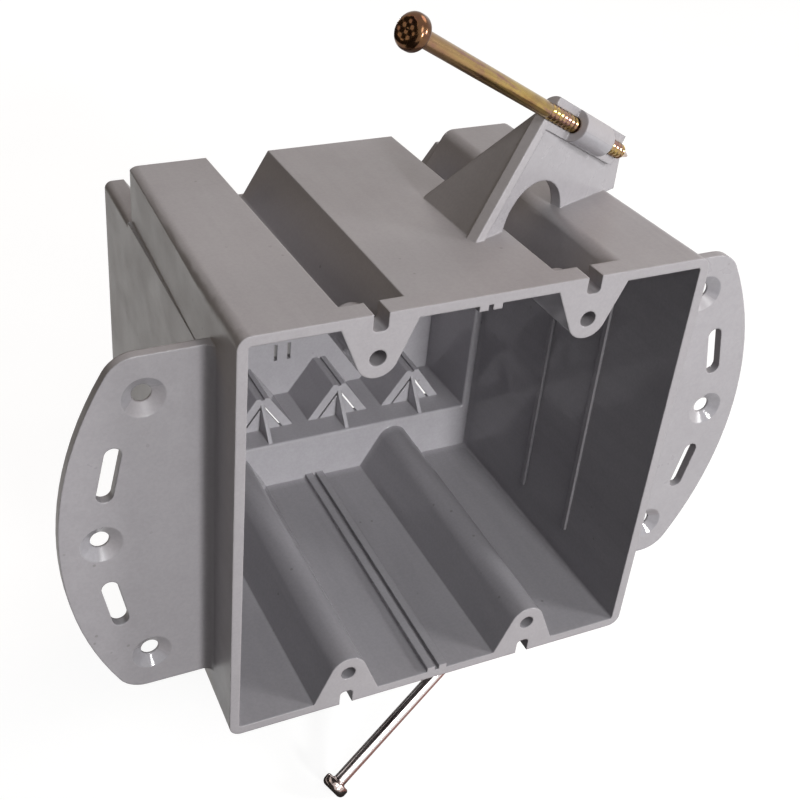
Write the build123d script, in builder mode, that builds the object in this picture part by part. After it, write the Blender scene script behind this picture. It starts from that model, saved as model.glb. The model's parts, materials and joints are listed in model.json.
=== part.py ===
"""Two-gang nail-on switch box: one plastic moulding with two captive nails.

Millimetres. X runs right along the front rim, Y runs back into the box and Z is
up. The origin is the centre of the front rim, between the four device screws.
"""
import os
from math import atan2, cos, radians, sin, tan

from build123d import *

# Front rim
box_width = 101.6
box_height = 102.5
wall = 2.2
rim_corner_radius = 2.8
cavity_corner_radius = 0.6
draft = 1.5

# Depths behind the front rim
step_depth = 74.5
back_wall = 2.2
deep_depth = 96.3

# Deep middle section behind the step
deep_cavity_half_width = 44.6
deep_cavity_corner_radius = 0.6
ledge_half_height = 33.6
ledge_wall = 2.3
ledge_lip_radius = 0.6
deep_corner_radius = 1.8

# Shoulders: the outer corners are shaved back above and below the deep section
shoulder_start = 18.0
shoulder_inset = 0.9

# Device screw ears and the folds that run back from them
device_pitch_x = 46.04
device_pitch_z = 83.34
device_hole_radius = 1.75
ear_radius = 4.4
ear_thickness = 4.8
boss_radius = 4.1
boss_length = 14.0
fold_wall_front = 2.0
fold_wall_back = 2.6
fold_angle_front = 23.0
fold_angle_back = 30.0
fold_draft = 1.25
notch_width = 3.1
notch_depth = 3.8
notch_corner_radius = 1.0

# Long ribs on the ceiling and floor, short ones on the side walls
centre_rib_width = 2.0
centre_rib_gap = 1.0
centre_rib_height = 1.2
side_rib_depths = (23.9, 43.6)
side_rib_width = 1.2
side_rib_height = 0.7
side_rib_half_length = 39.0

# Cable clamps on the ledges
clamp_pitch = 22.15
clamp_count = 4
clamp_offset = -1.7
clamp_half_base = 8.85
clamp_height = 10.0
clamp_ridge_half_width = 1.8
clamp_wall = 1.5
clamp_front = 81.8
clamp_frame_width = 2.4
clamp_slit = 0.5
clamp_slit_top_gap = 1.2
clamp_fin_thickness = 1.1
clamp_fin_reach = 6.7
ridge_line_width = 1.0
ridge_line_depth = 0.5

# Slots in the rear wall
rear_slot_width = 0.9
rear_slot_height = 5.2
rear_slot_spacing = 3.9
rear_slot_z = 19.8

# Side flanges
flange_setback = 13.2
flange_thickness = 2.1
flange_tip = 81.8
flange_shoulder = 68.9
flange_half_height = 42.4
flange_corner_radius = 7.0
flange_root_fillet = 2.0
flange_hole_radius = 1.95
flange_sink_radius = 4.35
flange_sink_angle = 110.0
flange_outer_hole_x = 63.9
flange_outer_hole_z = 33.1
flange_middle_hole_x = 73.3
flange_slot_x = 71.2
flange_slot_z = 16.6
flange_slot_length = 12.7
flange_slot_width = 3.5
flange_slot_tilt = 12.0

# Nail brackets; heights are above the roof at the bracket's foot
bracket_turn = 20.0
bracket_foot_x = 7.4
bracket_foot_y = 20.3
bracket_plate = 2.6
bracket_length = 47.0
bracket_edge_angle = 53.3
arch_radius = 9.6
arch_centre_s = 17.9
arch_centre_drop = 1.2
web_thickness = 1.8
web_length = 22.6
base_sink = 1.1

# Nail guides on the brackets, and the nails
guide_s = 26.0
guide_height = 19.1
guide_out = 0.7
guide_radius = 3.45
guide_length = 17.4
guide_lead = 8.5
guide_tail = 20.5
guide_relief = 5.0
nail_turn = 17.4
nail_slope = 29.4
nail_radius = 1.675
nail_clearance = 0.05
nail_length = 79.4
nail_point_length = 4.2
nail_tip_width = 0.4
nail_head_radius = 3.8
nail_head_thickness = 3.3
nail_head_round = 1.3
top_nail_tip = 24.1
bottom_nail_tip = 22.0

# How far a cut runs past the face it opens, and how close an edge must lie to be found
overrun = 1.0
edge_reach = 0.5

step_back = step_depth + back_wall
deep_back = deep_depth + wall
ledge_outside = ledge_half_height + ledge_wall
screw_x = device_pitch_x / 2
screw_z = device_pitch_z / 2
SIDES = (-1, 1)


def at_depth(depth):
    """Plane across the box at a depth behind the front rim."""
    return Plane.XZ.offset(-depth)


def taper(size, depth):
    """Half of an outside size of the rim, drafted back to a depth."""
    return size / 2 - depth * tan(radians(draft))


def drafted_block(width, height, start, end, inset, radius, mode):
    """Rounded rectangle that follows the box's draft from one depth to another."""
    sections = []
    for depth in (start, end):
        with BuildSketch(at_depth(depth)) as section:
            half_x = taper(width, depth) - inset
            half_z = taper(height, depth) - inset
            RectangleRounded(2 * half_x, 2 * half_z, radius)
        sections.append(section.sketch)
    loft(sections=sections, mode=mode)


def fold_section(x, depth, radius, angle, top_z):
    """Wedge with a round tip behind a device screw, at one depth; the tip drops with its draft."""
    tip_z = screw_z - depth * tan(radians(fold_draft)) - radius / sin(radians(angle))
    half_top = (top_z - tip_z) * tan(radians(angle))
    with BuildSketch(at_depth(depth)) as section:
        with BuildLine():
            Polyline((x - half_top, top_z), (x, tip_z), (x + half_top, top_z), close=True)
        make_face()
        fillet(vertices().sort_by(Axis.Y)[0], radius)
    return section.sketch


def clamp_half_width(z):
    """Half width of a clamp's gable at a height above the ledge's middle plane."""
    slope = (clamp_half_base - clamp_ridge_half_width) / clamp_height
    return clamp_half_base - (ledge_half_height - z) * slope


with BuildPart() as box_body:
    # Outer form: full height to the step, then a lower middle section
    drafted_block(box_width, box_height, 0, step_back, 0, rim_corner_radius, Mode.ADD)
    for depth in (step_back - back_wall / 2, deep_back):
        with BuildSketch(at_depth(depth)):
            RectangleRounded(2 * taper(box_width, depth), 2 * ledge_outside, deep_corner_radius)
    loft()

    # Main cavity
    drafted_block(box_width, box_height, 0, step_depth, wall, cavity_corner_radius, Mode.SUBTRACT)

    # Cavity of the middle section
    for depth in (step_depth - overrun, deep_depth):
        with BuildSketch(at_depth(depth)):
            shrink = (depth - step_depth) * tan(radians(draft))
            half_x = deep_cavity_half_width - shrink
            RectangleRounded(2 * half_x, 2 * ledge_half_height, deep_cavity_corner_radius)
    loft(mode=Mode.SUBTRACT)
    lip_edges = (
        edges()
        .filter_by(Plane.XZ)
        .filter_by(lambda e: abs(e.center().Y - step_depth) < edge_reach)
        .filter_by(lambda e: abs(e.center().X) < deep_cavity_half_width + edge_reach)
        .filter_by(lambda e: abs(e.center().Z) < ledge_half_height + edge_reach)
    )
    fillet(lip_edges, ledge_lip_radius)

    # Folds under the top wall, one behind each screw ear
    for side in SIDES:
        x = side * screw_x
        top_z = taper(box_height, 0) - wall / 2
        back_top_z = taper(box_height, step_back) - wall / 2
        front = fold_section(x, 0, ear_radius, fold_angle_front, top_z)
        back = fold_section(x, step_back, ear_radius, fold_angle_back, back_top_z)
        loft(sections=[front, back])
    for side in SIDES:
        x = side * screw_x
        groove_top = taper(box_height, 0) + overrun
        front_radius = ear_radius - fold_wall_front
        back_radius = ear_radius - fold_wall_back
        front = fold_section(x, ear_thickness, front_radius, fold_angle_front, groove_top)
        back = fold_section(x, step_back + overrun, back_radius, fold_angle_back, groove_top)
        loft(sections=[front, back], mode=Mode.SUBTRACT)
        with BuildSketch(at_depth(0)):
            with Locations((x, screw_z)):
                Circle(boss_radius)
        extrude(amount=-boss_length)
        with BuildSketch(at_depth(0)):
            with Locations((x, screw_z)):
                Circle(device_hole_radius)
        extrude(amount=-boss_length - overrun, mode=Mode.SUBTRACT)
        with BuildSketch(at_depth(0)):
            with Locations((x, taper(box_height, 0))):
                Rectangle(notch_width, 2 * notch_depth)
            fillet(vertices().group_by(Axis.Y)[0], notch_corner_radius)
        extrude(amount=-ear_thickness, mode=Mode.SUBTRACT)

    # Long ribs either side of the middle of the ceiling
    for side in SIDES:
        for depth in (0, step_depth):
            with BuildSketch(at_depth(depth)):
                ceiling = taper(box_height, depth) - wall
                x = side * (centre_rib_gap + centre_rib_width) / 2
                with Locations((x, ceiling)):
                    Rectangle(centre_rib_width, 2 * centre_rib_height)
        loft()

    # Short ribs on the side walls
    for side in SIDES:
        for depth in side_rib_depths:
            inner_x = taper(box_width, depth) - wall
            with Locations((side * inner_x, depth, 0)):
                Box(2 * side_rib_height, side_rib_width, 2 * side_rib_half_length)

    # Shoulders shaved off the side walls above the middle section
    for side in SIDES:
        with BuildSketch(Plane.XY.offset(ledge_outside)):
            start_x = side * taper(box_width, shoulder_start)
            end_x = side * taper(box_width, step_back)
            with BuildLine():
                Polyline(
                    (start_x, shoulder_start),
                    (end_x - side * shoulder_inset, step_back),
                    (end_x + side * wall, step_back),
                    (start_x + side * wall, shoulder_start),
                    close=True,
                )
            make_face()
        extrude(amount=box_height, mode=Mode.SUBTRACT)

    # Side flanges
    for side in SIDES:
        with BuildSketch(at_depth(flange_setback)):
            root = side * (taper(box_width, flange_setback) - wall / 2)
            shoulder = side * flange_shoulder
            with BuildLine():
                Line((root, -flange_half_height), (shoulder, -flange_half_height))
                ThreePointArc(
                    (shoulder, -flange_half_height),
                    (side * flange_tip, 0),
                    (shoulder, flange_half_height),
                )
                Line((shoulder, flange_half_height), (root, flange_half_height))
                Line((root, flange_half_height), (root, -flange_half_height))
            make_face()
            corners = vertices().filter_by(lambda v: abs(v.X) > flange_shoulder - edge_reach)
            fillet(corners, flange_corner_radius)
            with Locations((side * flange_slot_x, flange_slot_z)):
                SlotOverall(
                    flange_slot_length,
                    flange_slot_width,
                    rotation=90 + side * flange_slot_tilt,
                    mode=Mode.SUBTRACT,
                )
            with Locations((side * flange_slot_x, -flange_slot_z)):
                SlotOverall(
                    flange_slot_length,
                    flange_slot_width,
                    rotation=90 - side * flange_slot_tilt,
                    mode=Mode.SUBTRACT,
                )
        extrude(amount=-flange_thickness)
    root_edges = (
        edges()
        .filter_by(Axis.Z)
        .filter_by(lambda e: abs(e.center().Y - flange_setback) < edge_reach)
        .filter_by(lambda e: abs(abs(e.center().X) - taper(box_width, flange_setback)) < edge_reach)
    )
    fillet(root_edges, flange_root_fillet)
    hole_places = [
        (side * flange_outer_hole_x, up * flange_outer_hole_z) for side in SIDES for up in SIDES
    ]
    hole_places += [(side * flange_middle_hole_x, 0) for side in SIDES]
    with Locations(at_depth(flange_setback)):
        with Locations(*hole_places):
            CounterSinkHole(
                flange_hole_radius,
                flange_sink_radius,
                depth=flange_thickness + overrun,
                counter_sink_angle=flange_sink_angle,
            )

    # Cable clamps on the upper ledge
    clamp_span = (clamp_count - 1) / 2
    clamp_centres = [clamp_offset + (i - clamp_span) * clamp_pitch for i in range(clamp_count)]
    clamp_tip_z = ledge_half_height - clamp_height
    slope_angle = atan2(clamp_half_base - clamp_ridge_half_width, clamp_height)
    side_shift = clamp_wall / cos(slope_angle)
    for x in clamp_centres:
        with BuildSketch(at_depth(clamp_front)):
            gable_base = ledge_half_height + ledge_wall / 2
            with BuildLine():
                Polyline(
                    (x - clamp_half_width(gable_base), gable_base),
                    (x - clamp_ridge_half_width, clamp_tip_z),
                    (x + clamp_ridge_half_width, clamp_tip_z),
                    (x + clamp_half_width(gable_base), gable_base),
                    close=True,
                )
            make_face()
        extrude(amount=-(deep_depth + wall / 2 - clamp_front))
    for x in clamp_centres:
        with BuildSketch(at_depth(clamp_front + clamp_wall)):
            mouth_z = ledge_outside + overrun
            inner_tip_z = clamp_tip_z + clamp_wall
            with BuildLine():
                Polyline(
                    (x - clamp_half_width(mouth_z) + side_shift, mouth_z),
                    (x - clamp_half_width(inner_tip_z) + side_shift, inner_tip_z),
                    (x + clamp_half_width(inner_tip_z) - side_shift, inner_tip_z),
                    (x + clamp_half_width(mouth_z) - side_shift, mouth_z),
                    close=True,
                )
            make_face()
        extrude(amount=-(deep_back + overrun - clamp_front), mode=Mode.SUBTRACT)
    for x in clamp_centres:
        with BuildSketch(at_depth(clamp_front)):
            with Locations((x, clamp_tip_z)):
                Rectangle(ridge_line_width, 2 * ridge_line_depth)
        extrude(amount=-(deep_depth - clamp_front), mode=Mode.SUBTRACT)
        frame_shift = clamp_frame_width / cos(slope_angle)
        slit_width = clamp_slit / cos(slope_angle)
        slit_top_z = clamp_tip_z + clamp_wall + clamp_slit_top_gap
        for side in SIDES:
            foot = clamp_half_width(ledge_half_height) - frame_shift
            head = clamp_half_width(slit_top_z) - frame_shift
            with BuildSketch(at_depth(clamp_front)):
                with BuildLine():
                    Polyline(
                        (x + side * foot, ledge_half_height),
                        (x + side * head, slit_top_z),
                        (x + side * (head - slit_width), slit_top_z),
                        (x + side * (foot - slit_width), ledge_half_height),
                        close=True,
                    )
                make_face()
            extrude(amount=-clamp_wall, mode=Mode.SUBTRACT)
        with BuildSketch(Plane.YZ.offset(x)):
            with BuildLine():
                Polyline(
                    (clamp_front + clamp_wall / 2, clamp_tip_z + clamp_wall / 2),
                    (clamp_front - clamp_fin_reach, ledge_half_height),
                    (clamp_front - clamp_fin_reach, ledge_half_height + ledge_wall / 2),
                    (clamp_front + clamp_wall / 2, ledge_half_height + ledge_wall / 2),
                    close=True,
                )
            make_face()
        extrude(amount=clamp_fin_thickness / 2, both=True)

    # Slots in the rear wall
    with BuildSketch(at_depth(deep_depth - overrun)):
        with Locations((clamp_offset, rear_slot_z)):
            with GridLocations(rear_slot_spacing, 0, 2, 1):
                Rectangle(rear_slot_width, rear_slot_height)
    extrude(amount=-(wall + 2 * overrun), mode=Mode.SUBTRACT)

    # Nail bracket: a plate across the right fold, with an arch over the groove
    turn = radians(bracket_turn)
    bracket_face = Plane(
        origin=(bracket_foot_x, bracket_foot_y, 0),
        x_dir=(cos(turn), sin(turn), 0),
        z_dir=(sin(turn), -cos(turn), 0),
    )
    roof_z = taper(box_height, bracket_foot_y)
    sunk_z = roof_z - base_sink
    guide_z = roof_z + guide_height
    guide_fall = tan(radians(nail_slope))
    edge_run = 1 / tan(radians(bracket_edge_angle))
    lead_run = guide_lead * cos(radians(nail_slope))
    lead_s = guide_s - lead_run
    lead_z = guide_z + lead_run * guide_fall
    apex_s = (lead_z - roof_z) * edge_run
    with BuildSketch(bracket_face):
        with BuildLine():
            Polyline(
                (-base_sink * edge_run, sunk_z),
                (apex_s, lead_z),
                (lead_s + guide_radius, lead_z - guide_radius * guide_fall),
                (bracket_length, guide_z - (bracket_length - guide_s) * guide_fall),
                (bracket_length, sunk_z),
                close=True,
            )
        make_face()
        with Locations((arch_centre_s, roof_z - arch_centre_drop)):
            Circle(arch_radius, mode=Mode.SUBTRACT)
    extrude(amount=-bracket_plate)

    # Leaning web that braces the plate's left edge
    lean_x = cos(turn) * edge_run
    lean = atan2(1, lean_x)
    edge_length = (lead_z - roof_z) / sin(lean)
    web_face = Plane(
        origin=(bracket_foot_x, bracket_foot_y, roof_z),
        x_dir=(0, 1, 0),
        z_dir=(sin(lean), 0, -cos(lean)),
    )
    with BuildSketch(web_face):
        with BuildLine():
            Polyline(
                (0, -base_sink),
                (web_length, -base_sink),
                (web_length, 0),
                (apex_s * sin(turn) + bracket_plate, edge_length),
                (apex_s * sin(turn), edge_length),
                (0, 0),
                close=True,
            )
        make_face()
    extrude(amount=web_thickness)

    # Nail guide: a tube along the bracket's sloping edge, open in front at both ends
    guide_turn = radians(nail_turn)
    nail_dir = Vector(
        cos(radians(nail_slope)) * cos(guide_turn),
        cos(radians(nail_slope)) * sin(guide_turn),
        -sin(radians(nail_slope)),
    )
    guide_front = Vector(sin(guide_turn), -cos(guide_turn), 0)
    guide_origin = bracket_face.from_local_coords((guide_s, guide_z, guide_out))
    guide_plane = Plane(origin=guide_origin, x_dir=guide_front, z_dir=nail_dir)
    with BuildSketch(guide_plane.offset(-guide_lead)):
        Circle(guide_radius)
    extrude(amount=guide_lead + guide_tail)
    for start, length in ((-guide_lead - overrun, guide_lead + overrun), (guide_length, guide_tail)):
        with BuildSketch(guide_plane.offset(start)):
            clear = guide_radius + overrun
            Rectangle(clear, 2 * clear, align=(Align.MIN, Align.CENTER))
        extrude(amount=length, mode=Mode.SUBTRACT)
    with BuildSketch(guide_plane.offset(-guide_lead - guide_relief)):
        Circle(nail_radius + nail_clearance)
    extrude(amount=guide_lead + guide_tail + 2 * guide_relief, mode=Mode.SUBTRACT)

    # The lower half mirrors the upper half
    split(bisect_by=Plane.XY, keep=Keep.TOP)
    mirror(about=Plane.XY)

box_body.part.label = "box_body"


def nail_axis(tip, up):
    """Axis from a nail's tip back along the nail, on the upper or lower bracket."""
    point = guide_origin + nail_dir * tip
    back = (-nail_dir.X, -nail_dir.Y, -up * nail_dir.Z)
    return Axis((point.X, point.Y, up * point.Z), back)


def nail_section(axis):
    """Half section of a nail's shank and head, along its axis from the point's root."""
    across = -guide_front
    section_plane = Plane(axis.position, x_dir=across, z_dir=across.cross(axis.direction))
    with BuildSketch(section_plane) as section:
        with BuildLine():
            Polyline(
                (0, nail_point_length),
                (nail_radius, nail_point_length),
                (nail_radius, nail_length),
                (nail_head_radius, nail_length),
                (nail_head_radius, nail_length + nail_head_thickness),
                (0, nail_length + nail_head_thickness),
                close=True,
            )
        make_face()
        fillet(vertices().group_by(Axis.X)[-1], nail_head_round)
    return section.sketch


def nail_point(axis):
    """The two ends of a nail's four-sided point."""
    tip_plane = Plane(axis.position, x_dir=guide_front, z_dir=axis.direction)
    with BuildSketch(tip_plane) as tip:
        Rectangle(nail_tip_width, nail_tip_width)
    with BuildSketch(tip_plane.offset(nail_point_length)) as root:
        Circle(nail_radius)
    return [tip.sketch, root.sketch]


with BuildPart() as top_nail:
    top_axis = nail_axis(top_nail_tip, 1)
    revolve(nail_section(top_axis), axis=top_axis)
    loft(sections=nail_point(top_axis))
top_nail.part.label = "top_nail"

with BuildPart() as bottom_nail:
    bottom_axis = nail_axis(bottom_nail_tip, -1)
    revolve(nail_section(bottom_axis), axis=bottom_axis)
    loft(sections=nail_point(bottom_axis))
bottom_nail.part.label = "bottom_nail"

os.makedirs("parts", exist_ok=True)
export_step(box_body.part, "parts/box_body.step")
export_step(top_nail.part, "parts/top_nail.step")
export_step(bottom_nail.part, "parts/bottom_nail.step")
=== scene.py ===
"""Looks of a two-gang nail-on switch box: camera, light, finishes and detailed nails."""

import json
import math

import bmesh
import bpy
from mathutils import Matrix, Vector


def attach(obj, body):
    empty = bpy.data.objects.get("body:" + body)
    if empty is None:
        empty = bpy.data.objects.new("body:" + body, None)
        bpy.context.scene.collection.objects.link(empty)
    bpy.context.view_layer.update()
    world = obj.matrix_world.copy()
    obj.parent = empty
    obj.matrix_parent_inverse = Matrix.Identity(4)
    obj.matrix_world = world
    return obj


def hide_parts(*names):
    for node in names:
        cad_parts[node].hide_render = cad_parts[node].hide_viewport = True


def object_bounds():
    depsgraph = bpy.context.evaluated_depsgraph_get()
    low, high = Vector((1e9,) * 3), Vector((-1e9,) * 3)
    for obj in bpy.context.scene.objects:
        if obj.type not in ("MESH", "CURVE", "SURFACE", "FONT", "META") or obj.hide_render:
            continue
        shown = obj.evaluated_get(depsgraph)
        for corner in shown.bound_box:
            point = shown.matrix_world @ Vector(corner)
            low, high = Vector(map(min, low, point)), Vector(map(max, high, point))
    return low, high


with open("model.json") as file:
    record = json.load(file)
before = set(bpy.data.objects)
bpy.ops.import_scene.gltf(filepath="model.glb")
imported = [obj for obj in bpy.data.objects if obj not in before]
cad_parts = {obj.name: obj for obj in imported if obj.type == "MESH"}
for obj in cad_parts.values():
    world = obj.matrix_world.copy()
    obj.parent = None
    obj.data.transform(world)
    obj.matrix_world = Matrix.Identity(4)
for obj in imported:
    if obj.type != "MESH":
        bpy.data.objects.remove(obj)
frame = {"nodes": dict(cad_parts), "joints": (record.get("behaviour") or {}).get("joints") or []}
cad_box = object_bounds()
scene = bpy.context.scene
MM = 0.001
UP = Vector((0, 0, 1))

# Camera at the photograph's view
IMAGE_SIZE = 800
FOCAL_PX = 1272.9
PRINCIPAL_PX = (352.0, 411.2)
SENSOR_MM = 36.0
CLIP_START = 0.01
CAMERA_PLACE = (-115.98, -175.41, 168.34)
CAMERA_RIGHT = (0.91105, -0.40675, 0.06743)
CAMERA_FORWARD = (0.36893, 0.73123, -0.57375)

camera_data = bpy.data.cameras.new("camera")
camera = bpy.data.objects.new("camera", camera_data)
scene.collection.objects.link(camera)
camera_data.sensor_width = SENSOR_MM
camera_data.lens = SENSOR_MM * FOCAL_PX / IMAGE_SIZE
camera_data.shift_x = (IMAGE_SIZE / 2 - PRINCIPAL_PX[0]) / IMAGE_SIZE
camera_data.shift_y = (PRINCIPAL_PX[1] - IMAGE_SIZE / 2) / IMAGE_SIZE
camera_data.clip_start = CLIP_START
right = Vector(CAMERA_RIGHT).normalized()
forward = Vector(CAMERA_FORWARD).normalized()
up = right.cross(forward).normalized()
right = forward.cross(up).normalized()
turn = Matrix((right, up, -forward)).transposed().to_4x4()
camera.matrix_world = Matrix.Translation(Vector(CAMERA_PLACE) * MM) @ turn
scene.camera = camera

scene.view_settings.view_transform = "Standard"

# Materials: plain values, the middle part of a noise's range and the share of a speck that is full
WHITE = (1, 1, 1)
BLACK = (0, 0, 0)
NOISE_SPAN = (0.3, 0.7)
SPECK_CORE = 0.6
BEVEL_SAMPLES = 6


class Shader:
    """A new node material with a Principled shader, and short ways to add nodes to it."""

    def __init__(self, name):
        self.material = bpy.data.materials.new(name)
        self.material.use_nodes = True
        self.tree = self.material.node_tree
        self.tree.nodes.clear()
        self.output = self.tree.nodes.new("ShaderNodeOutputMaterial")
        self.bsdf = self.tree.nodes.new("ShaderNodeBsdfPrincipled")
        self.tree.links.new(self.bsdf.outputs[0], self.output.inputs["Surface"])
        self.coords = self.tree.nodes.new("ShaderNodeTexCoord").outputs["Object"]

    def link(self, source, target):
        self.tree.links.new(source, target)

    def stretch(self, scale):
        node = self.tree.nodes.new("ShaderNodeMapping")
        node.inputs["Scale"].default_value = scale
        self.link(self.coords, node.inputs["Vector"])
        return node.outputs[0]

    def place(self, axis):
        """The object coordinate along one axis, in metres."""
        node = self.tree.nodes.new("ShaderNodeSeparateXYZ")
        self.link(self.coords, node.inputs[0])
        return node.outputs[axis]

    def noise(self, scale, detail=3.0, rough=0.5, vector=None, distortion=0.0):
        node = self.tree.nodes.new("ShaderNodeTexNoise")
        node.inputs["Scale"].default_value = scale
        node.inputs["Detail"].default_value = detail
        node.inputs["Roughness"].default_value = rough
        node.inputs["Distortion"].default_value = distortion
        self.link(vector or self.coords, node.inputs["Vector"])
        return node.outputs["Fac"]

    def specks(self, scale, size):
        """1 inside small round spots, 0 elsewhere."""
        node = self.tree.nodes.new("ShaderNodeTexVoronoi")
        node.inputs["Scale"].default_value = scale
        self.link(self.coords, node.inputs["Vector"])
        return self.ramp(node.outputs["Distance"], [(size * SPECK_CORE, WHITE), (size, BLACK)])

    def ramp(self, value, stops):
        node = self.tree.nodes.new("ShaderNodeValToRGB")
        elements = node.color_ramp.elements
        while len(elements) < len(stops):
            elements.new(0.5)
        for element, (position, colour) in zip(elements, stops):
            element.position = position
            element.color = (*colour, 1)
        self.link(value, node.inputs[0])
        return node.outputs[0]

    def spread(self, value, low, high, out_low, out_high):
        """Takes the range from low to high to the range from out_low to out_high."""
        node = self.tree.nodes.new("ShaderNodeMapRange")
        for name, number in (
            ("From Min", low),
            ("From Max", high),
            ("To Min", out_low),
            ("To Max", out_high),
        ):
            node.inputs[name].default_value = number
        self.link(value, node.inputs["Value"])
        return node.outputs[0]

    def mix(self, factor, a, b, blend="MIX"):
        node = self.tree.nodes.new("ShaderNodeMix")
        node.data_type = "RGBA"
        node.blend_type = blend
        for socket, value in ((node.inputs[0], factor), (node.inputs[6], a), (node.inputs[7], b)):
            if isinstance(value, bpy.types.NodeSocket):
                self.link(value, socket)
            elif isinstance(value, (int, float)):
                socket.default_value = value
            else:
                socket.default_value = (*value, 1)
        return node.outputs[2]

    def math(self, operation, a, b):
        node = self.tree.nodes.new("ShaderNodeMath")
        node.operation = operation
        for socket, value in zip(node.inputs, (a, b)):
            if isinstance(value, bpy.types.NodeSocket):
                self.link(value, socket)
            else:
                socket.default_value = value
        return node.outputs[0]

    def vector_math(self, operation, a, b):
        node = self.tree.nodes.new("ShaderNodeVectorMath")
        node.operation = operation
        for socket, value in zip(node.inputs, (a, b)):
            if isinstance(value, bpy.types.NodeSocket):
                self.link(value, socket)
            else:
                socket.default_value = value
        return node.outputs["Value" if operation == "DOT_PRODUCT" else "Vector"]

    def bump(self, height, distance, strength=1.0, normal=None):
        node = self.tree.nodes.new("ShaderNodeBump")
        node.inputs["Distance"].default_value = distance
        node.inputs["Strength"].default_value = strength
        self.link(height, node.inputs["Height"])
        if normal is not None:
            self.link(normal, node.inputs["Normal"])
        return node.outputs[0]

    def facing_inwards(self, centre, weights, blend):
        """1 where a surface faces the centre, 0 where it faces away from it."""
        normal = self.coords.node.outputs["Normal"]
        from_centre = self.vector_math("SUBTRACT", self.coords, centre)
        scaled = self.vector_math("MULTIPLY", from_centre, weights)
        outwards = self.vector_math("DOT_PRODUCT", scaled, normal)
        return self.spread(outwards, -blend, blend, 1.0, 0.0)

    def bevel(self, radius):
        node = self.tree.nodes.new("ShaderNodeBevel")
        node.samples = BEVEL_SAMPLES
        node.inputs["Radius"].default_value = radius
        return node.outputs[0]


# Plastic: the main tone, the marks on it with the share each one takes, and the tints
PLASTIC_TONES = [(0.3, (0.272, 0.263, 0.260)), (0.7, (0.289, 0.280, 0.277))]
FLOW_STRETCH = (260, 22, 260)
FLOW_TONES = [(0.35, (0.21, 0.20, 0.20)), (0.65, (0.36, 0.35, 0.345))]
FLOW_SHARE = 0.10
GRAIN_TONES = [(0.4, (0.17, 0.165, 0.16)), (0.6, (0.41, 0.40, 0.39))]
GRAIN_SHARE = 0.06
SPECK_PLACES = [(0.52, BLACK), (0.6, WHITE)]
SPECK_COLOUR = (0.12, 0.11, 0.10)
SPECK_SHARE = 0.45
OUTSIDE_TINT = (1.0, 0.978, 1.03)
INSIDE_TINT = (0.98, 0.98, 1.05)
OUTSIDE_ROUGH = (0.34, 0.46)
INSIDE_ROUGH = (0.07, 0.13)
PLASTIC_IOR = 1.46

# Plastic: where the inside is, and how much painted light lightens the colour of its rear section
INSIDE_CENTRE = Vector((0, 20, 0))
INSIDE_WEIGHTS = (0.3, 0.3, 1.0)
INSIDE_BLEND = 5
DEEP_FROM = 72
DEEP_TO = 75
DEEP_PAINTED_LIGHT_GAIN = (1.4, 1.4, 1.4)

# Plastic: soft edges and the depth of its marks
EDGE_SOFTNESS = 0.5
WAVE_DEPTH = 0.10
DRAWN_DEPTH = 0.05
GRAIN_DEPTH = 0.02


def grey_plastic():
    """Moulded grey vinyl: satin outside, glossier inside, with faint flow marks and specks, and
    painted light on the rear section inside.
    """
    s = Shader("grey_plastic")
    patches = s.noise(scale=28, detail=4, rough=0.55)
    colour = s.ramp(patches, PLASTIC_TONES)
    flow = s.noise(scale=1, detail=5, rough=0.6, vector=s.stretch(FLOW_STRETCH), distortion=0.6)
    colour = s.mix(FLOW_SHARE, colour, s.ramp(flow, FLOW_TONES))
    grains = s.noise(scale=1400, detail=3, rough=0.6)
    colour = s.mix(GRAIN_SHARE, colour, s.ramp(grains, GRAIN_TONES))
    speckled = s.ramp(s.noise(scale=60, detail=2), SPECK_PLACES)
    specks = s.math("MULTIPLY", s.specks(scale=230, size=0.10), speckled)
    colour = s.mix(s.math("MULTIPLY", specks, SPECK_SHARE), colour, SPECK_COLOUR)
    inside = s.facing_inwards(INSIDE_CENTRE * MM, INSIDE_WEIGHTS, INSIDE_BLEND * MM)
    tint = s.mix(inside, OUTSIDE_TINT, INSIDE_TINT)
    colour = s.mix(1.0, colour, tint, "MULTIPLY")
    # Painted light: the inside behind the step is made lighter in colour, standing in for the light
    # that reaches the rear walls
    behind_step = s.spread(s.place("Y"), DEEP_FROM * MM, DEEP_TO * MM, 0.0, 1.0)
    deep_painted_light = s.math("MULTIPLY", behind_step, inside)
    colour = s.mix(deep_painted_light, colour, s.mix(1.0, colour, DEEP_PAINTED_LIGHT_GAIN, "MULTIPLY"))
    s.link(colour, s.bsdf.inputs["Base Color"])

    rough = s.spread(s.noise(scale=90, detail=4, rough=0.6), *NOISE_SPAN, *OUTSIDE_ROUGH)
    smooth = s.spread(s.noise(scale=70, detail=4, rough=0.6), *NOISE_SPAN, *INSIDE_ROUGH)
    s.link(s.mix(inside, rough, smooth), s.bsdf.inputs["Roughness"])
    s.bsdf.inputs["IOR"].default_value = PLASTIC_IOR

    edge = s.bevel(EDGE_SOFTNESS * MM)
    waves = s.bump(s.noise(scale=120), WAVE_DEPTH * MM, strength=0.35, normal=edge)
    drawn = s.bump(flow, DRAWN_DEPTH * MM, strength=0.25, normal=waves)
    grain = s.bump(grains, GRAIN_DEPTH * MM, strength=0.5, normal=drawn)
    s.link(grain, s.bsdf.inputs["Normal"])
    return s.material


# Plating: how far the tones of the head and of the shank beside it reach, and their shares
NEAR_HEAD_FROM = 8
NEAR_HEAD_TO = 32
NEAR_HEAD_SHARE = 0.5
ON_HEAD_FROM = 3.0
ON_HEAD_TO = 4.5
ON_HEAD_SHARE = 0.8
STREAK_STRETCH = (420, 420, 45)
CLOUD_SHARE = 0.35
LINE_STRETCH = (2600, 2600, 60)
LINE_DEPTH = 0.02


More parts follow.
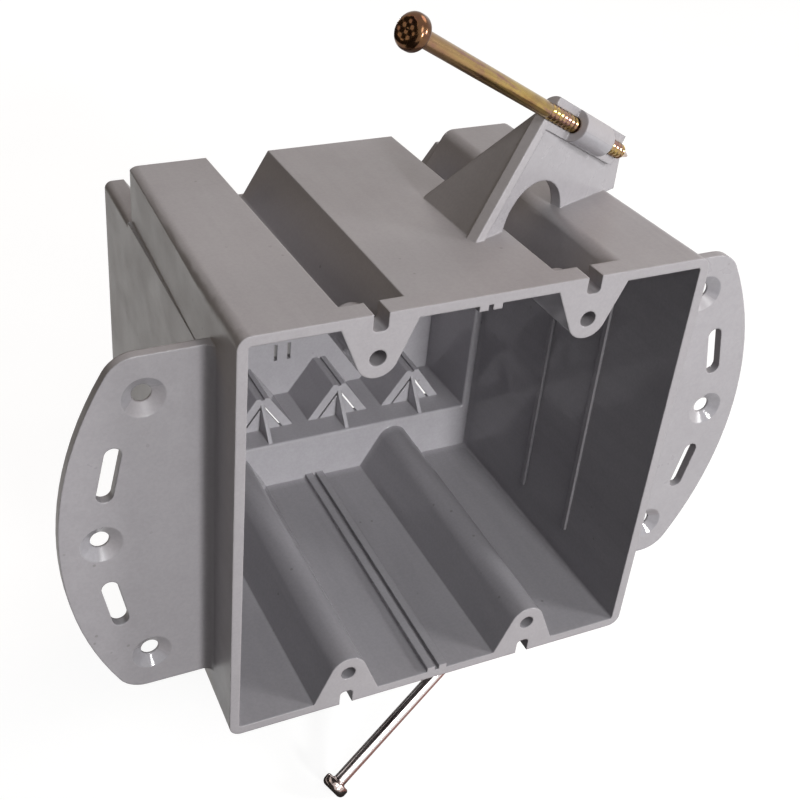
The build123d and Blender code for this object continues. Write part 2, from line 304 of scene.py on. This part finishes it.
def plated(name, tones, near_tone, head_tone, rough):
    """Zinc plating: colours that change in streaks along the shank, with fine drawing lines."""
    s = Shader(name)
    s.bsdf.inputs["Metallic"].default_value = 1.0
    streaks = s.noise(scale=1, detail=4, rough=0.55, vector=s.stretch(STREAK_STRETCH), distortion=0.8)
    colour = s.ramp(streaks, tones)
    clouds = s.noise(scale=160, detail=3, rough=0.6)
    colour = s.mix(CLOUD_SHARE, colour, s.ramp(clouds, tones))
    along = s.place("Z")
    near_head = s.spread(along, NEAR_HEAD_FROM * MM, NEAR_HEAD_TO * MM, NEAR_HEAD_SHARE, 0.0)
    colour = s.mix(near_head, colour, near_tone)
    on_head = s.spread(along, ON_HEAD_FROM * MM, ON_HEAD_TO * MM, ON_HEAD_SHARE, 0.0)
    colour = s.mix(on_head, colour, head_tone)
    s.link(colour, s.bsdf.inputs["Base Color"])
    lines = s.noise(scale=1, detail=3, rough=0.6, vector=s.stretch(LINE_STRETCH))
    s.link(s.spread(lines, *NOISE_SPAN, *rough), s.bsdf.inputs["Roughness"])
    s.link(s.bump(lines, LINE_DEPTH * MM, strength=0.3), s.bsdf.inputs["Normal"])
    return s.material


# Nail shape, along the axis from the head's face
HEAD_TRIM = 0.35
HEAD_FACE_R = 2.3
HEAD_HEIGHT = 3.3
HEAD_EDGE_R = 1.45
HEAD_EDGE_STEPS = 8
HEAD_UNDER_R = 0.7
HEAD_UNDER_STEPS = 6
NECK_R = 0.5
NECK_STEPS = 5
SHANK_R = 1.675
SHANK_STEP = 2.0
RING_PITCH = 1.5
RING_DEPTH = 0.26
RING_START = 47.3
RING_SHAPE = ((0.0, 0.0), (0.12, 0.15), (0.3, 0.8), (0.5, 1.0), (0.75, 0.55), (0.92, 0.08))
POINT_LENGTH = 4.2
POINT_STEPS = 8
POINT_SQUARE_START = 0.25
TIP_R = 0.28
FACE_STEPS = 10
DIMPLE_PITCH = 0.95
DIMPLE_DEPTH = 0.16
DIMPLE_FADE = 6
SEGMENTS = 64
NAIL_SHARP_ANGLE = math.radians(50)


def quarter_turn(steps, first=0):
    """The angles of a quarter turn in equal steps."""
    return [math.radians(90 * i / steps) for i in range(first, steps + 1)]


def nail_profile(head_r, length):
    """Rows of place along the nail, radius and how square the section is, from face to point."""
    profile = []
    for i in range(1, FACE_STEPS + 1):
        profile.append((HEAD_TRIM, (head_r - HEAD_EDGE_R) * i / FACE_STEPS, 0.0))
    for a in quarter_turn(HEAD_EDGE_STEPS, first=1):
        place = HEAD_TRIM + HEAD_EDGE_R * (1 - math.cos(a))
        profile.append((place, head_r - HEAD_EDGE_R * (1 - math.sin(a)), 0.0))
    for a in quarter_turn(HEAD_UNDER_STEPS):
        place = HEAD_HEIGHT - HEAD_UNDER_R * (1 - math.sin(a))
        profile.append((place, head_r - HEAD_UNDER_R * (1 - math.cos(a)), 0.0))
    for a in quarter_turn(NECK_STEPS):
        place = HEAD_HEIGHT + NECK_R * (1 - math.cos(a))
        profile.append((place, SHANK_R + NECK_R * (1 - math.sin(a)), 0.0))
    place = HEAD_HEIGHT + NECK_R
    while place < RING_START - SHANK_STEP:
        place += SHANK_STEP
        profile.append((place, SHANK_R, 0.0))
    ring = RING_START
    while ring < length - POINT_LENGTH - RING_PITCH * 0.5:
        for share, depth in RING_SHAPE:
            profile.append((ring + share * RING_PITCH, SHANK_R - depth * RING_DEPTH, 0.0))
        ring += RING_PITCH
    for i in range(POINT_STEPS + 1):
        t = i / POINT_STEPS
        place = length - POINT_LENGTH + t * POINT_LENGTH
        square = min(1.0, POINT_SQUARE_START + t)
        profile.append((place, SHANK_R + (TIP_R - SHANK_R) * t, square))
    return profile


def nail_point(place, radius, square, angle):
    """One point of a nail's surface, in its own frame, with the dimples on the head's face."""
    facet = math.cos(math.pi / 4) / math.cos((angle % (math.pi / 2)) - math.pi / 4)
    r = radius * (1 - square + square * facet)
    x, y, z = r * math.cos(angle), r * math.sin(angle), place
    if place == HEAD_TRIM:
        cell = math.cos(math.pi * x / DIMPLE_PITCH) * math.cos(math.pi * y / DIMPLE_PITCH)
        fade = max(0.0, 1 - (math.hypot(x, y) / HEAD_FACE_R) ** DIMPLE_FADE)
        z += DIMPLE_DEPTH * fade * (0.5 + 0.5 * cell)
    return Vector((x, y, z)) * MM


def joint_axis(body):
    """The way a nail slides, from the joint that moves its body."""
    joint = next(j for j in frame["joints"] if j["child"] == body)
    return Vector(joint["axis"]).normalized()


def nail(name, node, body, material):
    """A ring-shank nail with a waffled head and a four-sided point, over the plain nail's length."""
    axis = joint_axis(body)
    side = axis.cross(UP).normalized()
    other = axis.cross(side)
    turn = Matrix((side, other, axis)).transposed()
    local = [turn.transposed() @ v.co for v in frame["nodes"][node].data.vertices]
    low = [min(p[i] for p in local) for i in range(3)]
    high = [max(p[i] for p in local) for i in range(3)]
    centre = turn @ Vector(((low[0] + high[0]) / 2, (low[1] + high[1]) / 2, low[2]))
    length = (high[2] - low[2]) / MM
    head_r = (high[0] - low[0]) / 2 / MM - HEAD_TRIM

    bm = bmesh.new()
    top = bm.verts.new((0, 0, HEAD_TRIM * MM))
    rings = []
    for place, radius, square in nail_profile(head_r, length):
        angles = [2 * math.pi * k / SEGMENTS for k in range(SEGMENTS)]
        rings.append([bm.verts.new(nail_point(place, radius, square, a)) for a in angles])
    for k in range(SEGMENTS):
        bm.faces.new((top, rings[0][(k + 1) % SEGMENTS], rings[0][k]))
    for a, b in zip(rings, rings[1:]):
        for k in range(SEGMENTS):
            n = (k + 1) % SEGMENTS
            bm.faces.new((a[k], a[n], b[n], b[k]))
    bm.faces.new(rings[-1])
    bmesh.ops.recalc_face_normals(bm, faces=bm.faces)
    mesh = bpy.data.meshes.new(name)
    bm.to_mesh(mesh)
    bm.free()
    mesh.shade_smooth()
    mesh.set_sharp_from_angle(angle=NAIL_SHARP_ANGLE)
    mesh.materials.append(material)
    piece = bpy.data.objects.new(name, mesh)
    scene.collection.objects.link(piece)
    piece.matrix_world = Matrix.Translation(centre) @ turn.to_4x4()
    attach(piece, body)
    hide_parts(node)


yellow = plated(
    "yellow_zinc",
    tones=[
        (0.30, (0.16, 0.075, 0.06)),
        (0.40, (0.33, 0.20, 0.07)),
        (0.50, (0.43, 0.31, 0.10)),
        (0.58, (0.27, 0.14, 0.115)),
        (0.68, (0.38, 0.22, 0.19)),
    ],
    near_tone=(0.23, 0.12, 0.10),
    head_tone=(0.09, 0.038, 0.018),
    rough=(0.14, 0.26),
)
bright = plated(
    "bright_zinc",
    tones=[(0.3, (0.46, 0.38, 0.37)), (0.5, (0.74, 0.70, 0.69)), (0.7, (0.56, 0.44, 0.44))],
    near_tone=(0.62, 0.54, 0.53),
    head_tone=(0.42, 0.33, 0.30),
    rough=(0.09, 0.18),
)
plastic = grey_plastic()

body = frame["nodes"]["box_body"]
body.data.materials.clear()
body.data.materials.append(plastic)
nail("top_nail_shaped", "top_nail", "upper_nail", yellow)
nail("bottom_nail_shaped", "bottom_nail", "lower_nail", bright)

# Each guide's far end is open in front, so that the ring shank shows
GUIDE_OPEN_FROM = 11.8
GUIDE_OPEN_TO = 21.6
GUIDE_REACH = 4.6
OPEN_CLEAR = -0.05
TOP_NAIL_TIP = 24.1
BOTTOM_NAIL_TIP = 22.0
BLOCK_FACES = [(0, 1, 2, 3), (7, 6, 5, 4), (0, 4, 5, 1), (1, 5, 6, 2), (2, 6, 7, 3), (3, 7, 4, 0)]
WELD_REACH = 0.001
SHARP_ANGLE = math.radians(18)


def add_cutter(name, corners, faces):
    """A hidden block that a Boolean modifier takes off the box."""
    mesh = bpy.data.meshes.new(name)
    mesh.from_pydata(corners, [], faces)
    bm = bmesh.new()
    bm.from_mesh(mesh)
    bmesh.ops.recalc_face_normals(bm, faces=bm.faces)
    bm.to_mesh(mesh)
    bm.free()
    mesh.materials.append(plastic)
    cutter = bpy.data.objects.new(name, mesh)
    scene.collection.objects.link(cutter)
    cutter.hide_render = True
    cutter.hide_viewport = True
    cut = body.modifiers.new(name, "BOOLEAN")
    cut.operation = "DIFFERENCE"
    cut.solver = "EXACT"
    cut.object = cutter


def open_guide(name, body_name, tip):
    """A hidden block that cuts the front half off a guide, placed from its nail's tip."""
    axis = joint_axis(body_name)
    front = axis.cross(UP).normalized()
    if front.y > 0:
        front = -front
    across = axis.cross(front)
    nail_points = [v.co for v in frame["nodes"][name].data.vertices]
    point = max(nail_points, key=lambda p: p.dot(axis))
    start = point - axis * (tip * MM)
    corners = []
    for along in (GUIDE_OPEN_FROM, GUIDE_OPEN_TO):
        for side, out in ((-1, OPEN_CLEAR), (1, OPEN_CLEAR), (1, GUIDE_REACH), (-1, GUIDE_REACH)):
            corners.append(start + (axis * along + across * side * GUIDE_REACH + front * out) * MM)
    add_cutter(name + "_guide_cutter", corners, BLOCK_FACES)


# The groove edge beside each bracket is rounded: X, Y, Z and the wall's lean at both ends
EDGE_RADIUS = 3.2
EDGE_STEPS = 10
EDGE_ENDS = ((29.69, 4.8, 51.12, 23.0), (30.46, 78.0, 49.21, 30.0))
RIGHT_ANGLE = math.radians(90)


def round_groove_edge(name, upward):
    """Takes the corner off between roof and groove; upward is 1 for the top and -1 below."""
    corners = []
    for x, y, z, lean in EDGE_ENDS:
        lean = math.radians(lean)
        corner = Vector((x, z))
        roof, wall = Vector((1, 0)), Vector((-math.sin(lean), -math.cos(lean)))
        half_angle = (RIGHT_ANGLE + lean) / 2
        inward = (roof + wall).normalized()
        centre = corner + inward * EDGE_RADIUS / math.sin(half_angle)
        section = [corner - inward]
        for i in range(EDGE_STEPS + 1):
            a = RIGHT_ANGLE + (RIGHT_ANGLE - lean) * i / EDGE_STEPS
            section.append(centre + EDGE_RADIUS * Vector((math.cos(a), math.sin(a))))
        corners += [Vector((p.x, y, p.y * upward)) * MM for p in section]
    count = EDGE_STEPS + 2
    faces = [tuple(range(count)), tuple(range(2 * count - 1, count - 1, -1))]
    for i in range(count):
        n = (i + 1) % count
        faces.append((i, n, n + count, i + count))
    add_cutter(name, corners, faces)


def sharp_by_angle(piece):
    """Makes the edges sharp again where the faces turn, after the guides are cut."""
    nodes = bpy.data.node_groups.new("sharp_by_angle", "GeometryNodeTree")
    nodes.interface.new_socket("Geometry", in_out="INPUT", socket_type="NodeSocketGeometry")
    nodes.interface.new_socket("Geometry", in_out="OUTPUT", socket_type="NodeSocketGeometry")
    start = nodes.nodes.new("NodeGroupInput")
    end = nodes.nodes.new("NodeGroupOutput")
    plain = nodes.nodes.new("GeometryNodeRemoveAttribute")
    plain.inputs["Name"].default_value = "custom_normal"
    smooth = nodes.nodes.new("GeometryNodeSetShadeSmooth")
    smooth.domain = "FACE"
    smooth.inputs["Shade Smooth"].default_value = True
    angle = nodes.nodes.new("GeometryNodeInputMeshEdgeAngle")
    turned = nodes.nodes.new("FunctionNodeCompare")
    turned.operation = "GREATER_THAN"
    turned.inputs[1].default_value = SHARP_ANGLE
    sharp = nodes.nodes.new("GeometryNodeSetShadeSmooth")
    sharp.domain = "EDGE"
    sharp.inputs["Shade Smooth"].default_value = False
    nodes.links.new(start.outputs[0], plain.inputs["Geometry"])
    nodes.links.new(plain.outputs[0], smooth.inputs["Geometry"])
    nodes.links.new(smooth.outputs[0], sharp.inputs["Geometry"])
    nodes.links.new(angle.outputs["Unsigned Angle"], turned.inputs[0])
    nodes.links.new(turned.outputs[0], sharp.inputs["Selection"])
    nodes.links.new(sharp.outputs[0], end.inputs[0])
    piece.modifiers.new("sharp_edges", "NODES").node_group = nodes


weld = body.modifiers.new("weld", "WELD")
weld.merge_threshold = WELD_REACH * MM
open_guide("top_nail", "upper_nail", TOP_NAIL_TIP)
open_guide("bottom_nail", "lower_nail", BOTTOM_NAIL_TIP)
round_groove_edge("upper_groove_cutter", 1)
round_groove_edge("lower_groove_cutter", -1)
sharp_by_angle(body)
shading = body.modifiers.new("shading", "WEIGHTED_NORMAL")
shading.keep_sharp = True
shading.mode = "FACE_AREA_WITH_ANGLE"


def seen_directly(tree):
    """1 for the rays that show a background: from the camera, mirrored or through glass."""
    rays = tree.nodes.new("ShaderNodeLightPath")
    total = rays.outputs["Is Camera Ray"]
    for name in ("Is Glossy Ray", "Is Transmission Ray"):
        node = tree.nodes.new("ShaderNodeMath")
        node.operation = "MAXIMUM"
        tree.links.new(total, node.inputs[0])
        tree.links.new(rays.outputs[name], node.inputs[1])
        total = node.outputs[0]
    return total


# Floor, level with the lowest point of the CAD
FLOOR_HALF = 3.0
FLOOR_TONES = [(0.3, (0.19, 0.19, 0.19)), (0.7, (0.21, 0.21, 0.21))]
FLOOR_GLOW = 0.86
MATT = 0.9
FLOOR_SPECULAR = 0.1
level = cad_box[0].z


def rectangle(name, corners):
    """A piece with one face."""
    mesh = bpy.data.meshes.new(name)
    mesh.from_pydata(corners, [], [(0, 1, 2, 3)])
    piece = bpy.data.objects.new(name, mesh)
    scene.collection.objects.link(piece)
    return piece


def flat(x_range, y_range, z):
    """Corners of a rectangle that lies flat."""
    (x0, x1), (y0, y1) = x_range, y_range
    return [(x0, y0, z), (x1, y0, z), (x1, y1, z), (x0, y1, z)]


floor = rectangle("floor", flat((-FLOOR_HALF, FLOOR_HALF), (-FLOOR_HALF, FLOOR_HALF), level))
paint = Shader("floor_white")
paint.link(paint.ramp(paint.noise(scale=9), FLOOR_TONES), paint.bsdf.inputs["Base Color"])
paint.bsdf.inputs["Roughness"].default_value = MATT
paint.bsdf.inputs["Specular IOR Level"].default_value = FLOOR_SPECULAR
glow = paint.tree.nodes.new("ShaderNodeEmission")
both = paint.tree.nodes.new("ShaderNodeAddShader")
paint.link(paint.math("MULTIPLY", seen_directly(paint.tree), FLOOR_GLOW), glow.inputs["Strength"])
paint.link(paint.bsdf.outputs[0], both.inputs[0])
paint.link(glow.outputs[0], both.inputs[1])
paint.link(both.outputs[0], paint.output.inputs["Surface"])
floor.data.materials.append(paint.material)

# World: a weak cool light, and plain white where it is seen
WORLD_LIGHT = (0.86, 0.90, 1.0, 1)
WORLD_STRENGTH = 0.045

world = bpy.data.worlds.new("world")
scene.world = world
world.use_nodes = True
tree = world.node_tree
tree.nodes.clear()
out = tree.nodes.new("ShaderNodeOutputWorld")
soft = tree.nodes.new("ShaderNodeBackground")
white = tree.nodes.new("ShaderNodeBackground")
pick = tree.nodes.new("ShaderNodeMixShader")
soft.inputs["Color"].default_value = WORLD_LIGHT
soft.inputs["Strength"].default_value = WORLD_STRENGTH
white.inputs["Color"].default_value = (*WHITE, 1)
tree.links.new(seen_directly(tree), pick.inputs[0])
tree.links.new(soft.outputs[0], pick.inputs[1])
tree.links.new(white.outputs[0], pick.inputs[2])
tree.links.new(pick.outputs[0], out.inputs[0])

# Lamps: name, place, target, size, power and colour
MIDDLE = (0, 0.02, 0)
LAMPS = (
    ("front", (0.12, -1.20, 0.36), MIDDLE, 0.18, 13.0, WHITE),
    ("front_high", (-0.1, -0.85, 0.9), MIDDLE, 0.5, 4.6, WHITE),
    ("front_right", (0.46, -0.32, 0.17), (0.03, 0.02, 0.02), 0.14, 1.9, WHITE),
    ("overhead", (0.7, 0.2, 1.1), MIDDLE, 0.8, 7.2, (1.0, 0.86, 0.77)),
    ("fill_left", (-1.0, 0.5, 0.5), MIDDLE, 0.8, 1.4, (1.0, 0.76, 0.42)),
    ("behind", (0.1, 1.3, 0.0), (0, 0.05, 0), 0.16, 4.0, WHITE),
)


def lamp(name, place, target, size, power, colour):
    data = bpy.data.lights.new(name, "AREA")
    data.shape = "DISK"
    data.size = size
    data.energy = power
    data.color = colour
    light = bpy.data.objects.new(name, data)
    scene.collection.objects.link(light)
    light.location = place
    aim = Vector(target) - Vector(place)
    light.rotation_mode = "QUATERNION"
    light.rotation_quaternion = aim.to_track_quat("-Z", "Y")


for row in LAMPS:
    lamp(*row)

# Cards: name, corners and colour
CARD_LIFT = 0.2
CARD_TONE_GAIN = 1.2
DARK = (0.02, 0.019, 0.019)
PINK = (0.32, 0.17, 0.15)
low = level + CARD_LIFT * MM
CARDS = (
    ("card_left", [(-0.6, -0.6, low), (-0.6, 0.9, low), (-0.6, 0.9, 0.5), (-0.6, -0.6, 0.5)], DARK),
    ("card_low", flat((-0.6, -0.01), (-0.6, 0.03), low), DARK),
    ("card_under", flat((-0.05, 0.08), (0.03, 0.2), low), DARK),
    ("card_back", [(-0.6, 0.5, low), (0.05, 0.5, low), (0.05, 0.5, 0.2), (-0.6, 0.5, 0.2)], DARK),
    ("card_right", flat((-0.01, 0.08), (-0.02, 0.03), low), PINK),
)


def card(name, corners, colour):
    """A card that only mirrors see, so that the plated nails show contrast."""
    sheet = rectangle(name, corners)
    for kind in ("camera", "diffuse", "transmission", "volume_scatter", "shadow"):
        setattr(sheet, "visible_" + kind, False)
    felt = Shader(name)
    lighter = tuple(CARD_TONE_GAIN * c for c in colour)
    tones = [(0.3, colour), (0.7, lighter)]
    felt.link(felt.ramp(felt.noise(scale=40), tones), felt.bsdf.inputs["Base Color"])
    felt.bsdf.inputs["Roughness"].default_value = MATT
    sheet.data.materials.append(felt.material)


for row in CARDS:
    card(*row)
